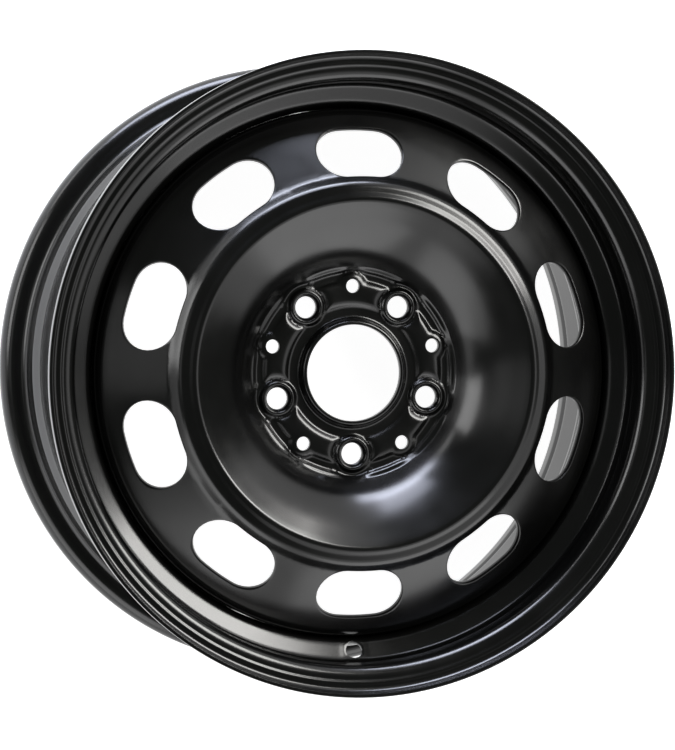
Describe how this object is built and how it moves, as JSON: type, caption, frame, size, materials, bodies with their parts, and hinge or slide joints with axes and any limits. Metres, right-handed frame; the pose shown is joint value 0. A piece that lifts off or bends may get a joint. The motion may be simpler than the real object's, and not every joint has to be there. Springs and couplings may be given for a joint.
{
  "type": "steel wheel rim",
  "caption": "Black pressed-steel road wheel: roll-formed drop-centre rim with a stamped vented disc welded inside, ready for a tyre.",
  "frame": {"origin": "centre of the circle that the wheel rests on, at the rear lip, on the wheel's axis", "axes": "+Z along the wheel's axis from the rear lip to the front face; the valve hole is at -Y and one bolt hole is beside it, towards the axis"},
  "size_m": [0.4402, 0.4402, 0.2038],
  "materials": {
    "rim_paint": "satin black paint",
    "disc_paint": "satin black paint",
    "weld_paint": "satin black paint over a weld bead"
  },
  "bodies": {
    "root": {"rim": "rim_paint", "wheel_disc": "disc_paint", "weld_run_01": "weld_paint", "weld_run_02": "weld_paint", "weld_run_03": "weld_paint", "weld_run_04": "weld_paint", "weld_run_05": "weld_paint", "weld_run_06": "weld_paint", "weld_run_07": "weld_paint", "weld_run_08": "weld_paint", "weld_run_09": "weld_paint", "weld_run_10": "weld_paint"}
  },
  "joints": []
}
